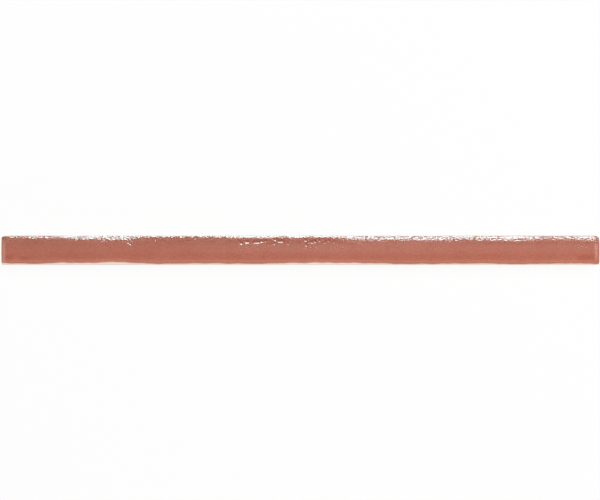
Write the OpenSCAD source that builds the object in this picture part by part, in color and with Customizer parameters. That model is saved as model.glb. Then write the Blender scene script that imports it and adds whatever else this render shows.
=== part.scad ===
// Slim skirting trim tile: one pressed and glazed ceramic strip.
// It lies on its glued back, with the glazed face up.
// X runs along the strip, +Y towards its rounded top edge, and +Z out of the wall.
// The origin is the middle of the back face. All sizes are in millimetres.

/* [Tile] */
// Length of the strip
tile_length = 246; // [150:1:330]
// Height of the strip once it is on the wall
tile_height = 12; // [9:0.5:30]
// Thickness from the glued back to the glazed face
tile_thickness = 8.5; // [6:0.1:12]

/* [Edges] */
// Radius of the rounded shoulder along the top long edge
shoulder_radius = 4.8; // [2:0.1:6]
// Radius of the tighter edges: lower edge, both ends, all four corners and the shoulder's foot
arris_radius = 0.8; // [0.3:0.1:1.2]
// Bevel that the press leaves around the back face
back_bevel = 0.4; // [0.2:0.1:0.8]

/* [Hidden] */

glaze_colour = [0.71, 0.44, 0.37];

// A cutter reaches this far past the blank
overcut = 1;

top_side = tile_height / 2;
lower_side = -tile_height / 2;
end_face = tile_length / 2;

// The shoulder is an arc that leaves the face flush and falls away to a slope of 3 in 4,
// where a smaller arc, its foot, carries it on into the top side. Both point this way there.
fall = [0.6, 0.8];
foot_step = (shoulder_radius - arris_radius) * fall;
shoulder_width = arris_radius + foot_step.x;
shoulder_centre = [top_side - shoulder_width, tile_thickness - shoulder_radius];
foot_centre = shoulder_centre + foot_step;

$fn = 96;

// Waste outside a quarter round, for the corner at [0, 0] of a profile that lies to -X and -Y
module quarter_round_waste() {
    translate([-arris_radius, -arris_radius]) difference() {
        square(arris_radius + overcut);
        circle(arris_radius);
    }
}

// Waste of the two back bevels of a profile that reaches half_width to either side
module back_bevel_waste(half_width) {
    for (side = [0, 1])
        mirror([side, 0]) translate([-half_width, 0])
            polygon([
                [-overcut, -overcut],
                [back_bevel + overcut, -overcut],
                [-overcut, back_bevel + overcut]
            ]);
}

// The slice of the shoulder's circle that stays in the tile, down to the start of the foot
module shoulder_slice() {
    beyond_arc = shoulder_centre + (shoulder_radius + overcut) * fall;
    intersection() {
        translate(shoulder_centre) circle(shoulder_radius);
        polygon([
            shoulder_centre,
            beyond_arc,
            [beyond_arc.x, tile_thickness + overcut],
            [shoulder_centre.x, tile_thickness + overcut]
        ]);
    }
}

// Waste above the shoulder and outside its foot
module shoulder_waste() {
    difference() {
        translate([shoulder_centre.x, foot_centre.y])
            square([shoulder_width + overcut, tile_thickness - foot_centre.y + overcut]);
        shoulder_slice();
        translate(foot_centre) circle(arris_radius);
    }
}

// Cross-section, with the top side at +X and the glazed face up
module cross_section() {
    difference() {
        translate([lower_side, 0]) square([tile_height, tile_thickness]);
        shoulder_waste();
        mirror([1, 0]) translate([-lower_side, tile_thickness]) quarter_round_waste();
        back_bevel_waste(top_side);
    }
}

// Side view along the strip, with both ends rounded at the face
module side_view() {
    difference() {
        translate([-end_face, 0]) square([tile_length, tile_thickness]);
        for (side = [0, 1])
            mirror([side, 0]) translate([end_face, tile_thickness]) quarter_round_waste();
        back_bevel_waste(end_face);
    }
}

// Outline seen from the front, with its four corners rounded
module front_view() {
    difference() {
        square([tile_length, tile_height], center = true);
        for (x_side = [0, 1], y_side = [0, 1])
            mirror([x_side, 0]) mirror([0, y_side])
                translate([end_face, top_side]) quarter_round_waste();
    }
}

// The strip is what its three views have in common
module skirting_tile() {
    color(glaze_colour) intersection() {
        rotate([90, 0, 90]) linear_extrude(tile_length, center = true) cross_section();
        rotate([90, 0, 0]) linear_extrude(tile_height, center = true) side_view();
        linear_extrude(tile_thickness) front_view();
    }
}

skirting_tile();
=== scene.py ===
import math

import bpy
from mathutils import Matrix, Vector


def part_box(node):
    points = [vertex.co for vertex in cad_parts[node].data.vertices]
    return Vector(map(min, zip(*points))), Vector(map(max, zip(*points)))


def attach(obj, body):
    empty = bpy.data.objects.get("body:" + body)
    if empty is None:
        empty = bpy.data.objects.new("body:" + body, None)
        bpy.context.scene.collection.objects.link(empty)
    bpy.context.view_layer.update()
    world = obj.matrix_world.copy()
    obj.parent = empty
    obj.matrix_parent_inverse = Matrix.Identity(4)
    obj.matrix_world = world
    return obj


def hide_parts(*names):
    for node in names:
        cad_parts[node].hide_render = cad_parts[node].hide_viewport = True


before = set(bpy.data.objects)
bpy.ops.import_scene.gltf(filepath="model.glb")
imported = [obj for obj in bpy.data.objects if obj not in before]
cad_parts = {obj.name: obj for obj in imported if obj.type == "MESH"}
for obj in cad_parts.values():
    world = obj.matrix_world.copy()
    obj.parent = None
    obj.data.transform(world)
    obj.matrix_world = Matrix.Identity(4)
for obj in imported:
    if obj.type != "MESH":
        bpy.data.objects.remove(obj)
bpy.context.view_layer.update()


# ---------------------------------------------------------------------------------------------
# The strip: one piece of pressed clay, glazed by hand and fired, and glued to the wall by its
# flat back. Its lower edge is tight. Its top edge is rolled over, more in some places than in
# others, because the glaze rippled and slumped. All sizes here are in millimetres.
# ---------------------------------------------------------------------------------------------

MM_PER_M = 1000


class Wire:
    """An output socket of a node tree. Arithmetic on wires adds Math nodes to their tree."""

    def __init__(self, tree, socket):
        self.tree = tree
        self.socket = socket

    def node(self, kind, settings=None, inputs=None, output=0):
        """Adds a node of any kind: first its settings, then its sockets by name or by number."""
        return add_node(self.tree, kind, settings, inputs, output)

    def other_output(self, name):
        return Wire(self.tree, self.socket.node.outputs[name])

    def maths(self, operation, *values, clamp=False):
        settings = {"operation": operation, "use_clamp": clamp}
        return self.node("ShaderNodeMath", settings, dict(enumerate(values)))

    def __add__(self, other):
        return self.maths("ADD", self, other)

    def __radd__(self, other):
        return self.maths("ADD", other, self)

    def __sub__(self, other):
        return self.maths("SUBTRACT", self, other)

    def __rsub__(self, other):
        return self.maths("SUBTRACT", other, self)

    def __mul__(self, other):
        return self.maths("MULTIPLY", self, other)

    def __rmul__(self, other):
        return self.maths("MULTIPLY", other, self)

    def __truediv__(self, other):
        return self.maths("DIVIDE", self, other)

    def __rtruediv__(self, other):
        return self.maths("DIVIDE", other, self)

    def __abs__(self):
        return self.maths("ABSOLUTE", self)

    def sign(self):
        return self.maths("SIGN", self)

    def root(self):
        return self.maths("SQRT", self)

    def sine(self):
        return self.maths("SINE", self)

    def cosine(self):
        return self.maths("COSINE", self)

    def clamped(self):
        return self.maths("ADD", self, 0, clamp=True)

    def ramp(self, low, high, smooth=True):
        """0 where this is below low, 1 where it is above high. low may be the greater."""
        settings = {"interpolation_type": "SMOOTHSTEP" if smooth else "LINEAR", "clamp": True}
        return self.node("ShaderNodeMapRange", settings, {"Value": self, 1: low, 2: high})

    def part(self, axis):
        return self.node("ShaderNodeSeparateXYZ", inputs={"Vector": self}, output=axis)

    def times(self, factors):
        settings = {"operation": "MULTIPLY"}
        return self.node("ShaderNodeVectorMath", settings, {0: self, 1: factors})

    def scaled(self, amount):
        settings = {"operation": "SCALE"}
        return self.node("ShaderNodeVectorMath", settings, {0: self, "Scale": amount})

    def plus(self, other):
        settings = {"operation": "ADD"}
        return self.node("ShaderNodeVectorMath", settings, {0: self, 1: other})

    def noise(self, size, seed, detail=0, stretch=(1, 1, 1)):
        """Smooth noise from 0 to 1 at this position, in lumps of about this size."""
        settings = {"noise_dimensions": "4D"}
        inputs = {"Vector": self.times(stretch), "W": seed, "Scale": 1 / size, "Detail": detail}
        return self.node("ShaderNodeTexNoise", settings, inputs)


def add_node(tree, kind, settings=None, inputs=None, output=0):
    made = tree.nodes.new(kind)
    for name, value in (settings or {}).items():
        if name == "curve":
            fill_curve(made.mapping, value)
        else:
            setattr(made, name, value)
    for name, value in (inputs or {}).items():
        if isinstance(value, Wire):
            tree.links.new(value.socket, made.inputs[name])
        else:
            made.inputs[name].default_value = value
    return Wire(tree, made.outputs[output])


def fill_curve(mapping, points):
    line = mapping.curves[0]
    while len(line.points) < len(points):
        line.points.new(0, 0)
    for point, place in zip(line.points, points):
        point.location = place
        point.handle_type = "AUTO_CLAMPED"
    mapping.update()


def smaller(a, b):
    return a.maths("MINIMUM", a, b)


def larger(a, b):
    return a.maths("MAXIMUM", a, b)


def vector(x, y, z):
    return y.node("ShaderNodeCombineXYZ", inputs={"X": x, "Y": y, "Z": z})


low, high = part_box("skirting_tile")
length, height, thickness = [side * MM_PER_M for side in high - low]

tree = bpy.data.node_groups.new("tile_strip", "GeometryNodeTree")
tree.interface.new_socket("Geometry", in_out="OUTPUT", socket_type="NodeSocketGeometry")
tile_sizes = {
    "Length": length,
    "Height": height,
    "Thickness": thickness,
    "Arris Radius": 0.8,
    "Back Edge Radius": 0.4,
    "Crown": 0.0064,
    "End Roll Width": 2.8,
    "End Roll Radius": 6.5,
    "Glaze Thickness": 0.14,
    "Shoulder Ripple": 0.15,
    "Side Ripple": 0.05,
    "Face Ripple": 0.010,
    "Dimple Depth": 0.49,
    "Waviness": 0.16,
    "Clay Grain": 0.03,
    "Seed": 4.0,
}
size_sockets = {}
for name, value in tile_sizes.items():
    socket = tree.interface.new_socket(name, in_out="INPUT", socket_type="NodeSocketFloat")
    size_sockets[name] = socket.identifier
tree.interface.new_socket("Material", in_out="INPUT", socket_type="NodeSocketMaterial")
material_socket = tree.interface.items_tree["Material"].identifier
group_input = tree.nodes.new("NodeGroupInput")
group_output = tree.nodes.new("NodeGroupOutput")


def size(name):
    return Wire(tree, group_input.outputs[name])


# The strip is a sheet of cells bent into a closed tube: one way it runs along the strip, the
# other way round its section. At each end it turns in over the arris and closes in the middle.
CAP_CELLS = 6
END_ARRIS_CELLS = 6
BODY_CELLS = 1200
cells_along = 2 * (CAP_CELLS + END_ARRIS_CELLS) + BODY_CELLS

# The rolled edge, taken from the top side over on to the face: a tight foot, a straight fall and
# the round shoulder. How each of them varies along the strip, from its left end to its right.
FOOT_RADIUS_RANGE = 2
foot_curve = [
    (0.00, 0.12), (0.012, 0.20), (0.028, 0.49), (0.085, 0.47), (0.125, 0.13), (0.21, 0.13),
    (0.26, 0.18), (0.31, 0.18), (0.35, 0.15), (0.39, 0.13), (0.55, 0.13), (0.58, 0.15),
    (0.745, 0.13), (0.80, 0.34), (0.88, 0.38), (0.93, 0.50), (0.97, 0.36), (1.00, 0.34),
]
FALL_SLOPE_RANGE = 45
fall_slope_curve = [
    (0.00, 0.38), (0.085, 0.40), (0.125, 0.81), (0.16, 0.83), (0.18, 0.88), (0.21, 0.87),
    (0.26, 0.42), (0.31, 0.43), (0.34, 0.53), (0.38, 0.60), (0.41, 0.87), (0.48, 0.86),
    (0.52, 0.62), (0.555, 0.64), (0.60, 0.87), (0.745, 0.89), (0.80, 0.60), (0.84, 0.61),
    (0.89, 0.58), (0.91, 0.48), (0.95, 0.48), (0.97, 0.64), (1.00, 0.65),
]
FALL_LENGTH_RANGE = 2
fall_length_curve = [
    (0.00, 0.15), (0.05, 0.14), (0.08, 0.22), (0.11, 0.28), (0.16, 0.24), (0.20, 0.20),
    (0.25, 0.09), (0.35, 0.09), (0.41, 0.13), (0.55, 0.13), (0.62, 0.20), (0.67, 0.32),
    (0.75, 0.36), (0.80, 0.82), (0.84, 0.90), (0.89, 0.88), (0.91, 0.54), (0.95, 0.56),
    (0.975, 0.85), (1.00, 0.85),
]
SHOULDER_RADIUS_RANGE = 8
shoulder_curve = [
    (0.00, 0.19), (0.085, 0.20), (0.125, 0.60), (0.16, 0.64), (0.205, 0.68), (0.26, 0.32),
    (0.38, 0.30), (0.41, 0.26), (0.545, 0.28), (0.59, 0.68), (0.66, 0.70), (0.745, 0.70),
    (0.80, 0.22), (1.00, 0.22),
]

grid_mesh = add_node(
    tree, "GeometryNodeMeshGrid", inputs={"Size X": cells_along, "Vertices X": cells_along + 1}
)
grid_node = grid_mesh.socket.node
place = add_node(tree, "GeometryNodeInputPosition")
station = place.part(0) + cells_along / 2
end_station = smaller(station, cells_along - station)
right_half = place.part(0).sign()

closing = (end_station / CAP_CELLS).clamped()
end_turn = ((end_station - CAP_CELLS) / END_ARRIS_CELLS).clamped() * (math.pi / 2)
body_cell = (size("Length") - size("Arris Radius") * 2) / BODY_CELLS
run_in = larger(end_station - (CAP_CELLS + END_ARRIS_CELLS), 0) * body_cell
from_end = run_in + size("Arris Radius") * (1 - end_turn.cosine())
turn_in = size("Arris Radius") * (1 - end_turn.sine())
x = right_half * (size("Length") / 2 - from_end)


def follows(curve, curve_range, x):
    """What a curve gives at x, where the curve runs from the left end to the right."""
    along = x / size("Length") + 0.5
    return curve_range * along.node("ShaderNodeFloatCurve", {"curve": curve}, {"Value": along})


def sine(angle):
    return angle.sine() if isinstance(angle, Wire) else math.sin(angle)


def cosine(angle):
    return angle.cosine() if isinstance(angle, Wire) else math.cos(angle)


foot_radius = follows(foot_curve, FOOT_RADIUS_RANGE, x)
fall_slope = follows(fall_slope_curve, math.radians(FALL_SLOPE_RANGE), x)
fall_length = follows(fall_length_curve, FALL_LENGTH_RANGE, x)
shoulder_radius = follows(shoulder_curve, SHOULDER_RADIUS_RANGE, x)
edge_width = foot_radius * (1 - sine(fall_slope)) + fall_length * cosine(fall_slope)
edge_width = edge_width + shoulder_radius * sine(fall_slope)
edge_drop = foot_radius * cosine(fall_slope) + fall_length * sine(fall_slope)
edge_drop = edge_drop + shoulder_radius * (1 - cosine(fall_slope))

# The section as a chain of moves round it, from the middle of the back towards the top side:
# the length of a straight move or the radius of an arc, its heading at both ends, and its cells.
# The upper part of the face has the finer cells.
UPPER_FACE_SHARE = 0.4
quarter = math.radians(90)
half_turn = math.radians(180)
three_quarters = math.radians(270)
full_turn = math.radians(360)
falling = half_turn - fall_slope
back_half = size("Height") / 2 - size("Back Edge Radius")
face_width = size("Height") - edge_width - size("Arris Radius")
top_side_width = size("Thickness") - size("Back Edge Radius") - edge_drop
low_side_width = size("Thickness") - size("Arris Radius") - size("Back Edge Radius")
moves = [
    (back_half, 0, 0, 1),
    (size("Back Edge Radius"), 0, quarter, 2),
    (top_side_width, quarter, quarter, 7),
    (foot_radius, quarter, falling, 5),
    (fall_length, falling, falling, 8),
    (shoulder_radius, falling, half_turn, 14),
    (face_width * UPPER_FACE_SHARE, half_turn, half_turn, 18),
    (face_width * (1 - UPPER_FACE_SHARE), half_turn, half_turn, 9),
    (size("Arris Radius"), half_turn, three_quarters, 7),
    (low_side_width, three_quarters, three_quarters, 5),
    (size("Back Edge Radius"), three_quarters, full_turn, 2),
    (back_half, full_turn, full_turn, 1),
]
cells_around = sum(move[-1] for move in moves)
grid_node.inputs["Size Y"].default_value = cells_around
grid_node.inputs["Vertices Y"].default_value = cells_around + 1

step = place.part(1) + cells_around / 2
y = 0
z = 0
cells_done = 0
for extent, start, end, cells in moves:
    progress = ((step - cells_done) / cells).clamped()
    cells_done += cells
    if start is end:
        y = progress * extent * cosine(start) + y
        z = progress * extent * sine(start) + z
    else:
        angle = progress * (end - start) + start
        y = extent * (sine(angle) - sine(start)) + y
        z = extent * (cosine(start) - cosine(angle)) + z

# Towards an end the section shrinks about its middle, first over the arris and then to nothing.
half_height = size("Height") / 2
half_thickness = size("Thickness") / 2
y = y * (1 - turn_in / half_height) * closing
z = half_thickness + (z - half_thickness) * (1 - turn_in / half_thickness) * closing
shaped = add_node(
    tree, "GeometryNodeSetPosition", inputs={"Geometry": grid_mesh, "Position": vector(x, y, z)}
)
outward = add_node(tree, "GeometryNodeFlipFaces", inputs={"Mesh": shaped})
SEAM_GAP = 0.001
closed = add_node(
    tree, "GeometryNodeMergeByDistance", inputs={"Geometry": outward, "Distance": SEAM_GAP}
)

# Where a point of the closed form lies, which way it faces, and how near it is to the edges.
here = add_node(tree, "GeometryNodeInputPosition")
out = add_node(tree, "GeometryNodeInputNormal")
seed = size("Seed")
from_low_edge = here.part(1) + half_height
from_top_edge = half_height - here.part(1)
from_either_end = size("Length") / 2 - abs(here.part(0))
TURN_STARTS = 0.3
TURN_FULL = 0.8
faces_down_wall = out.part(1).ramp(-TURN_STARTS, -TURN_FULL)
faces_up_wall = out.part(1).ramp(TURN_STARTS, TURN_FULL)

# Where the glaze stops. Along the lower edge it crawls back to a wavy line on the arris. On the
# top side and the ends it runs down to a ragged line, at these heights above the back.
GLAZE_LINE_RANGE = 1.35
glaze_line_curve = [
    (0.00, 0.50), (0.05, 0.30), (0.10, 0.60), (0.16, 0.60), (0.19, 0.76), (0.26, 0.32),
    (0.34, 0.40), (0.40, 0.26), (0.47, 0.50), (0.55, 0.60), (0.63, 0.40), (0.71, 0.19),
    (0.80, 0.39), (0.86, 0.15), (0.94, 0.35), (1.00, 0.14),
]
GLAZE_LINE_WOBBLE = 0.5
GLAZE_CORNER_RADIUS = 1.3
GLAZE_PAST_END = 0.35
END_LINE = 6.6
TOP_SIDE_LINE = 3.0
RUNS = 1.6
DRIPS = 0.5
low_line = follows(glaze_line_curve, GLAZE_LINE_RANGE, here.part(0))
low_line = low_line + (here.times((1, 0, 0)).noise(size=4, seed=5.1) - 0.5) * GLAZE_LINE_WOBBLE
down_low_side = larger(size("Thickness") - size("Arris Radius") - here.part(2), 0)
beyond_low_line = from_low_edge - low_line - down_low_side * faces_down_wall
beyond_end = from_either_end + GLAZE_PAST_END
corner_y = larger(GLAZE_CORNER_RADIUS - beyond_low_line, 0)
corner_x = larger(GLAZE_CORNER_RADIUS - beyond_end, 0)
from_corner = (corner_y * corner_y + corner_x * corner_x).root()
past_corner = larger(smaller(beyond_low_line, beyond_end) - GLAZE_CORNER_RADIUS, 0)
reach_on_face = GLAZE_CORNER_RADIUS - from_corner + past_corner
run_down = here.noise(size=5, seed=8.2) * RUNS + here.noise(size=1.5, seed=3.7) * DRIPS
side_line = END_LINE - (END_LINE - TOP_SIDE_LINE) * faces_up_wall + run_down
reach_on_sides = here.part(2) - side_line + smaller(from_top_edge, from_either_end)
glaze_reach = smaller(reach_on_face, reach_on_sides)

# The relief, as a depth that is taken off along the normal: first the step at the edge of the
# glaze, with its raised lip, then the ripples and the waves.
GLAZE_STEP_WIDTH = 0.7
LIP_TOP = 0.35
LIP_FOOT = 1.3
LIP_SHARE = 0.1
up = larger(out.part(2), 0)
off_the_back = (up + larger(out.part(1), 0) + abs(out.part(0))).clamped()
glazed = glaze_reach.ramp(0.0, GLAZE_STEP_WIDTH)
lip = glaze_reach.ramp(0.0, LIP_TOP) * glaze_reach.ramp(LIP_FOOT, LIP_TOP)
bare_depth = size("Glaze Thickness") * (1 - glazed * (1 - LIP_SHARE) - lip * LIP_SHARE)

EDGE_STARTS = 3.4
EDGE_FULL = 1.8
SIDE_ENDS = 3.5
SHOULDER_FULL = 6.0
over_edge = from_top_edge.ramp(EDGE_STARTS, EDGE_FULL)
shoulder_zone = over_edge * here.part(2).ramp(SIDE_ENDS, SHOULDER_FULL)
side_zone = over_edge - shoulder_zone
ripple_depth = size("Shoulder Ripple") * shoulder_zone + size("Side Ripple") * side_zone
ripple_depth = ripple_depth + size("Face Ripple") * (1 - over_edge)

RIPPLE_CREST = 0.3
WAVE_CREST = 0.35
FACE_WAVE_SHARE = 0.35
ripple = here.noise(size=0.8, seed=seed + 1.5, detail=1, stretch=(1.3, 1, 1)) - RIPPLE_CREST
waves = here.noise(size=19, seed=seed + 11.2, stretch=(1, 0.5, 0.5)) - WAVE_CREST
wave_depth = waves * size("Waviness") * (FACE_WAVE_SHARE + over_edge * (1 - FACE_WAVE_SHARE))
grain = here.noise(size=0.8, seed=seed + 3.1, detail=2) * size("Clay Grain") * (1 - glazed)

# Small grooves and dimples that the glazing left, most of them in a row where the shoulder
# starts: the middle of each along the strip, how far down it lies, and half its length. Each
# has its gentler side towards the top edge.
DIMPLE_HALF_WIDTH = 0.6
UPPER_FLANK_SLOPE = 0.5
FACES_OUT = (0.5, 0.8)
dimples = [
    (-70.7, 2.7, 0.7), (-69.9, 3.4, 0.6), (-59.5, 1.6, 0.6), (-43.1, 1.2, 0.6),
    (-24.3, 3.2, 0.9), (-22.0, 2.7, 1.2), (-18.1, 2.8, 1.8), (-16.0, 2.5, 1.0),
    (-14.4, 2.3, 0.9), (-10.7, 3.4, 0.6), (-10.1, 1.6, 0.9), (-7.9, 2.4, 1.7),
    (-5.0, 3.4, 0.6), (2.1, 2.0, 0.9), (2.4, 4.0, 0.6), (4.6, 2.8, 1.1), (5.9, 2.5, 0.9),
    (8.0, 2.0, 0.9), (10.0, 2.8, 0.6), (11.8, 2.4, 0.7), (13.7, 2.8, 0.6),
]
pits = 0
for middle, down, half_length in dimples:
    past_straight = larger(abs(here.part(0) - middle) - (half_length - DIMPLE_HALF_WIDTH), 0)
    below = from_top_edge - down
    beside = larger(below, below * -UPPER_FLANK_SLOPE)
    from_axis = (past_straight * past_straight + beside * beside).root()
    pits = larger(from_axis.ramp(DIMPLE_HALF_WIDTH, 0.0, smooth=False), pits)
dents = pits * size("Dimple Depth") * up.ramp(*FACES_OUT)

depth = ripple * ripple_depth * glazed + dents + wave_depth + bare_depth + grain
depth = larger(depth * off_the_back, 0)

# The face is slightly crowned across its height, and it rolls down gently towards both ends,
# where the top edge also turns in.
CROWN_MIDDLE = -1.3
CROWN_ENDS = 3.0
ROLL_STARTS = 2.0
ROLL_FULL = 6.0
from_crown = smaller(here.part(1), CROWN_ENDS) - CROWN_MIDDLE
crown = from_crown * from_crown * size("Crown")
into_roll = larger(size("End Roll Width") - from_either_end, 0)
end_roll = into_roll * into_roll / (size("End Roll Radius") * 2)
roll_in = end_roll * here.part(1).ramp(ROLL_STARTS, ROLL_FULL)
roll_down = (end_roll + crown) * here.part(2).ramp(ROLL_STARTS, ROLL_FULL)
taken_off = out.scaled(depth).plus(vector(0, roll_in, roll_down))

marked = add_node(
    tree,
    "GeometryNodeStoreNamedAttribute",
    {"data_type": "FLOAT", "domain": "POINT"},
    {"Geometry": closed, "Name": "glaze_reach", "Value": glaze_reach},
)
relieved = add_node(
    tree, "GeometryNodeSetPosition", inputs={"Geometry": marked, "Offset": taken_off.scaled(-1)}
)
metres = add_node(
    tree, "GeometryNodeTransform", inputs={"Geometry": relieved, "Scale": [1 / MM_PER_M] * 3}
)
smooth = add_node(tree, "GeometryNodeSetShadeSmooth", inputs={"Geometry": metres})
real = add_node(tree, "GeometryNodeRealizeInstances", inputs={"Geometry": smooth})
coated = add_node(
    tree, "GeometryNodeSetMaterial", inputs={"Geometry": real, "Material": size("Material")}
)
tree.links.new(coated.socket, group_output.inputs["Geometry"])

# The glaze and the clay under it. The glaze is glossy and terracotta red, put on wet and fired
# to glass on the clay. It pales to orange where it runs thin towards its lip, and past the lip
# the fired clay is bare, pale and matt.
GLAZE_RED = (0.448, 0.100, 0.048, 1)
GLAZE_PALE = (0.454, 0.144, 0.095, 1)
GLAZE_THIN = (0.51, 0.18, 0.107, 1)
GLAZE_LIP = (0.58, 0.24, 0.168, 1)
CLAY_BARE = (0.93, 0.78, 0.69, 1)
CLAY_STAINED = (0.89, 0.59, 0.46, 1)

glaze = bpy.data.materials.new("terracotta_glaze")
glaze.use_nodes = True
shader_tree = glaze.node_tree
shader_tree.nodes.clear()
spot = add_node(shader_tree, "ShaderNodeTexCoord").other_output("Object").scaled(MM_PER_M)
past_line = add_node(shader_tree, "ShaderNodeAttribute", {"attribute_name": "glaze_reach"})
past_line = past_line.other_output("Fac")


def blended(share, first, second):
    inputs = {0: share, 6: first, 7: second}
    return share.node("ShaderNodeMix", {"data_type": "RGBA"}, inputs, output=2)


# The glaze's edge is ragged on a fine scale, and what lies along it is placed from there.
EDGE_GRAIN = 0.12
GLAZE_STARTS = -0.03
GLAZE_FULL = 0.05
THIN_ENDS = 2.1
THIN_FULL = 0.5
THIN_SHARE = 0.5
THIN_DRIFT = 0.3
LIP_COLOUR_ENDS = 0.55
LIP_COLOUR_FULL = 0.15
STAIN_WIDTH = 0.35
past_edge = past_line + (spot.noise(size=0.5, seed=1.7, detail=2) - 0.5) * EDGE_GRAIN
glazed_here = past_edge.ramp(GLAZE_STARTS, GLAZE_FULL)
thin_share = THIN_SHARE + spot.noise(size=4, seed=6.0) * THIN_DRIFT
thin_here = past_edge.ramp(THIN_ENDS, THIN_FULL) * thin_share
lip_here = past_edge.ramp(LIP_COLOUR_ENDS, LIP_COLOUR_FULL)
stained_here = past_edge.ramp(-STAIN_WIDTH, 0.0)

# The colour drifts in soft clouds with fine flecks in them. It also gets a touch lighter to the
# right, which is painted light: a gradient that stands in for the key lamp lighting that end more.
CLOUDS = 0.5
SMALL_CLOUDS = 0.4
FLECKS = 0.4
SMALL_FLECKS = 1.2
PALE_LEVEL = 0.75
CLOUD_LIGHT = 0.2
MOTTLE = 0.42
PAINTED_LIGHT_PER_MM = 0.0002
DARKEST = 0.70
clouds = spot.noise(size=11, seed=7.0, detail=2) * CLOUDS
clouds = clouds + spot.noise(size=3.5, seed=9.0, detail=2) * SMALL_CLOUDS
flecks = spot.noise(size=1.2, seed=5.0) * FLECKS
flecks = flecks + spot.noise(size=0.5, seed=4.0, detail=1) * SMALL_FLECKS
pale_here = clouds + flecks - PALE_LEVEL
mottle_and_painted_light = clouds * CLOUD_LIGHT + spot.noise(size=0.45, seed=8.0) * MOTTLE
# Painted light: the glaze is made lighter towards the right, where the key lamp stands.
mottle_and_painted_light = mottle_and_painted_light + spot.part(0) * PAINTED_LIGHT_PER_MM + DARKEST

# Redder patches low on the face at both ends: the middle of each, and half its length and height.
PATCH_TINT = (0.93, 0.80, 0.72)
PATCH_ENDS = 1.1
PATCH_FULL = 0.3
redder_here = 0
for middle_x, middle_y, half_x, half_y in [
    (-119.5, -3.0, 1.8, 1.7), (-113.3, -3.4, 3.4, 1.2), (117.0, -3.1, 4.6, 1.9),
]:
    aside = (spot.part(0) - middle_x) / half_x
    above = (spot.part(1) - middle_y) / half_y
    from_patch = (aside * aside + above * above).root()
    redder_here = from_patch.ramp(PATCH_ENDS, PATCH_FULL) + redder_here

# Browner towards the rolled edge.
EDGE_TINT = (0.875, 0.92, 0.90)
BROWN_STARTS = 8.5
BROWN_FULL = 0.8
from_top = height / 2 - spot.part(1)
browner_here = from_top.ramp(BROWN_STARTS, BROWN_FULL)

CLAY_DARKEST = 0.92
CLAY_MOTTLE = 0.16
glaze_colour = blended(pale_here, GLAZE_RED, GLAZE_PALE)
glaze_colour = blended(thin_here, glaze_colour, GLAZE_THIN).scaled(mottle_and_painted_light)
glaze_colour = blended(redder_here, glaze_colour, glaze_colour.times(PATCH_TINT))
glaze_colour = blended(browner_here, glaze_colour, glaze_colour.times(EDGE_TINT))
glaze_colour = blended(lip_here, glaze_colour, GLAZE_LIP)
clay_mottle = spot.noise(size=1.2, seed=2.0, detail=3) * CLAY_MOTTLE + CLAY_DARKEST
clay_colour = blended(stained_here, CLAY_BARE, CLAY_STAINED).scaled(clay_mottle)
surface_colour = blended(glazed_here, clay_colour, glaze_colour)

# The glaze has a fine orange peel, deep where it ran thin over the shoulder.
PEEL_DEPTH = 0.38
FACE_PEEL_DEPTH = 0.018
PEEL_STARTS = 3.8
PEEL_FULL = 1.4
SIDE_PEEL_SHARE = 0.55
SIDE_STARTS = 1.0
SIDE_FULL = 0.2
over_the_side = SIDE_PEEL_SHARE + from_top.ramp(SIDE_FULL, SIDE_STARTS) * (1 - SIDE_PEEL_SHARE)
peel_depth = from_top.ramp(PEEL_STARTS, PEEL_FULL) * over_the_side * PEEL_DEPTH + FACE_PEEL_DEPTH
peel = spot.noise(size=0.65, seed=3.0, stretch=(1.3, 1, 1)) * peel_depth

# A few specks stand up below the shoulder, in these stretches: the middle and half the width of
# each along the strip. Of the cells that the surface is divided into, those whose own random
# number is high have one.
SPECK_SPACING = 1.1
SPECK_RADIUS = 0.26
SPECK_HEIGHT = 0.2
SPECKS_START = 1.5
SPECKS_FULL = 2.5
SPECKS_THIN_OUT = 4.5
SPECKS_END = 7.5
NO_SPECK_UP_TO = 0.55
SPECK_FROM = 0.6
speck_zone = 0
for middle, half_width in [(8.0, 13.0), (-18.0, 6.0), (24.0, 8.0), (118.0, 6.0)]:
    from_middle = abs(spot.part(0) - middle)
    speck_zone = from_middle.ramp(half_width, half_width / 2) + speck_zone
speck_zone = from_top.ramp(SPECKS_START, SPECKS_FULL) * speck_zone
speck_zone = from_top.ramp(SPECKS_END, SPECKS_THIN_OUT) * speck_zone
from_speck = spot.node(
    "ShaderNodeTexVoronoi",
    {"voronoi_dimensions": "2D"},
    {"Vector": spot, "Scale": 1 / SPECK_SPACING},
)
has_speck = from_speck.other_output("Color").part(0).ramp(NO_SPECK_UP_TO, SPECK_FROM)
specks = from_speck.ramp(SPECK_RADIUS, 0.0) * has_speck * speck_zone * SPECK_HEIGHT

CLAY_ROUGHNESS = 0.85
GLAZE_ROUGHNESS = 0.11
CLAY_PORES = 0.05
roughness = CLAY_ROUGHNESS - glazed_here * (CLAY_ROUGHNESS - GLAZE_ROUGHNESS)
pores = spot.noise(size=0.25, seed=3.0, detail=3) * CLAY_PORES
bump_height = ((peel + specks) * glazed_here + pores * (1 - glazed_here)) / MM_PER_M
bumped = bump_height.node("ShaderNodeBump", inputs={"Distance": 1.0, "Height": bump_height})
surface = add_node(
    shader_tree,
    "ShaderNodeBsdfPrincipled",
    inputs={"Base Color": surface_colour, "Roughness": roughness, "Normal": bumped, "IOR": 1.5},
)
surface_out = shader_tree.nodes.new("ShaderNodeOutputMaterial")
shader_tree.links.new(surface.socket, surface_out.inputs["Surface"])

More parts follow.
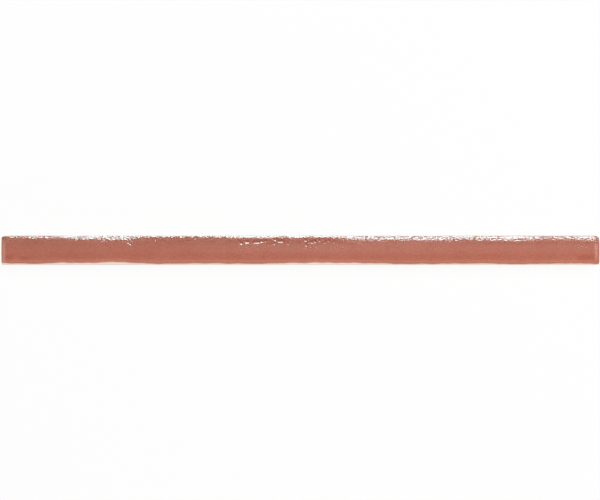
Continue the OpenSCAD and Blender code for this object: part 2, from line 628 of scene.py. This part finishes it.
carrier = bpy.data.objects.new("tile_carrier", bpy.data.meshes.new("tile_carrier"))
bpy.context.scene.collection.objects.link(carrier)
modifier = carrier.modifiers.new("Strip", "NODES")
modifier.node_group = tree
for name, value in tile_sizes.items():
    modifier[size_sockets[name]] = value
modifier[material_socket] = glaze
evaluated = carrier.evaluated_get(bpy.context.evaluated_depsgraph_get())
strip_mesh = bpy.data.meshes.new_from_object(evaluated)
strip_mesh.name = "glazed_strip"
strip_mesh.materials.pop(index=0)  # the empty slot that a grid comes with
bpy.data.objects.remove(carrier)
strip = bpy.data.objects.new("glazed_strip", strip_mesh)
bpy.context.scene.collection.objects.link(strip)

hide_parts("skirting_tile")
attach(strip, "root")


# ---------------------------------------------------------------------------------------------
# The floor: a plain sheet of white paper under the strip, which sweeps up far away on all
# sides. All sizes from here on are in metres.
# ---------------------------------------------------------------------------------------------

SWEEP_START = 4.0
SWEEP_RINGS = 6
SWEEP_SPREAD = 2.0
SWEEP_HEIGHT = 0.9
SIDES = 96

floor_points = []
for ring in range(SWEEP_RINGS + 1):
    rise = ring / SWEEP_RINGS
    radius = SWEEP_START + SWEEP_SPREAD * rise
    for side in range(SIDES):
        angle = 2 * math.pi * side / SIDES
        point = (radius * math.cos(angle), radius * math.sin(angle), SWEEP_HEIGHT * rise**2)
        floor_points.append(point)
floor_faces = [tuple(range(SIDES))]
for ring in range(SWEEP_RINGS):
    for side in range(SIDES):
        corner = ring * SIDES + side
        next_corner = ring * SIDES + (side + 1) % SIDES
        floor_faces.append((corner, corner + SIDES, next_corner + SIDES, next_corner))
floor_mesh = bpy.data.meshes.new("floor")
floor_mesh.from_pydata(floor_points, [], floor_faces)
floor = bpy.data.objects.new("floor", floor_mesh)
bpy.context.scene.collection.objects.link(floor)

# Seen directly, in gloss or through glass, the paper is nearly as white as it can be. The rest
# of what shows is its own lit surface, which keeps the strip's shadow.
FLOOR_WHITE = (0.94, 0.94, 0.94, 1)
GLOW_SHARE = 0.87
white = bpy.data.materials.new("floor_white")
white.use_nodes = True
floor_tree = white.node_tree
floor_tree.nodes.clear()
ray = add_node(floor_tree, "ShaderNodeLightPath")
seen = larger(
    larger(ray.other_output("Is Camera Ray"), ray.other_output("Is Glossy Ray")),
    ray.other_output("Is Transmission Ray"),
)
lit = add_node(floor_tree, "ShaderNodeBsdfDiffuse", inputs={"Color": FLOOR_WHITE})
glow = add_node(floor_tree, "ShaderNodeEmission", inputs={"Color": (1, 1, 1, 1), "Strength": 1.0})
paper = seen.node("ShaderNodeMixShader", inputs={0: seen * GLOW_SHARE, 1: lit, 2: glow})
floor_out = floor_tree.nodes.new("ShaderNodeOutputMaterial")
floor_tree.links.new(paper.socket, floor_out.inputs["Surface"])
floor_mesh.materials.append(white)


# ---------------------------------------------------------------------------------------------
# The light: an even room, a soft key lamp to the right, and four dim panels overhead. Three
# boxes show only in the gloss: a bright one behind the top edge, and a dim one past each end.
# ---------------------------------------------------------------------------------------------

ROOM_LIGHT = 0.55
scene = bpy.context.scene
world = bpy.data.worlds.new("room")
scene.world = world
world.use_nodes = True
room = world.node_tree.nodes["Background"]
room.inputs["Color"].default_value = (1, 1, 1, 1)
room.inputs["Strength"].default_value = ROOM_LIGHT


def panel(name, middle, facing, width, depth, radiance, diffuse=True, colour=(1, 1, 1)):
    """A flat lamp of this radiance, width along X, that faces a point."""
    lamp = bpy.data.lights.new(name, "AREA")
    lamp.shape = "RECTANGLE"
    lamp.size = width
    lamp.size_y = depth
    lamp.energy = radiance * math.pi * width * depth
    lamp.color = colour
    holder = bpy.data.objects.new(name, lamp)
    scene.collection.objects.link(holder)
    holder.location = middle
    away = Vector(middle) - Vector(facing)
    holder.rotation_euler = away.to_track_quat("Z", "Y").to_euler()
    holder.visible_diffuse = diffuse
    holder.visible_camera = False


COOL = (0.60, 0.95, 1.0)
panel("key", (0.75, 0.35, 1.1), (0, 0, 0), 0.8, 0.8, 2.9)
panel("upper_left", (-0.56, 0.60, 1.65), (-0.56, 0.60, 0), 1.0, 1.2, 0.6)
panel("upper_middle", (-0.01, 0.60, 1.65), (-0.01, 0.60, 0), 0.1, 1.2, 1.5)
panel("upper_right", (0.49, 0.60, 1.65), (0.49, 0.60, 0), 0.9, 1.2, 1.05)
panel("lower_panel", (0.0, -0.35, 1.65), (0.0, -0.35, 0), 1.6, 0.5, 0.9)
panel("edge_box", (0.10, 0.90, 0.31), (0.10, 0, 0.31), 1.1, 0.59, 27.0, diffuse=False, colour=COOL)
panel("left_box", (-0.90, 0, 0.75), (0, 0, 0), 0.9, 0.9, 2.1, diffuse=False)
panel("right_box", (0.90, 0, 0.75), (0, 0, 0), 0.9, 0.9, 0.28, diffuse=False)


# ---------------------------------------------------------------------------------------------
# The camera, straight above the strip, far off with a long lens. The strip takes up nearly the
# whole width of the view.
# ---------------------------------------------------------------------------------------------

STRIP_SHARE = 0.99817
ASIDE = (-0.00017, 0.00010)
lens = bpy.data.cameras.new("camera")
lens.lens = 200
lens.sensor_width = 36
lens.clip_end = 20
camera = bpy.data.objects.new("camera", lens)
scene.collection.objects.link(camera)
widest_level = high.z - tile_sizes["Arris Radius"] / MM_PER_M
view_width = (high.x - low.x) / STRIP_SHARE
camera.location = (*ASIDE, widest_level + view_width * lens.lens / lens.sensor_width)
scene.camera = camera
scene.view_settings.view_transform = "Standard"
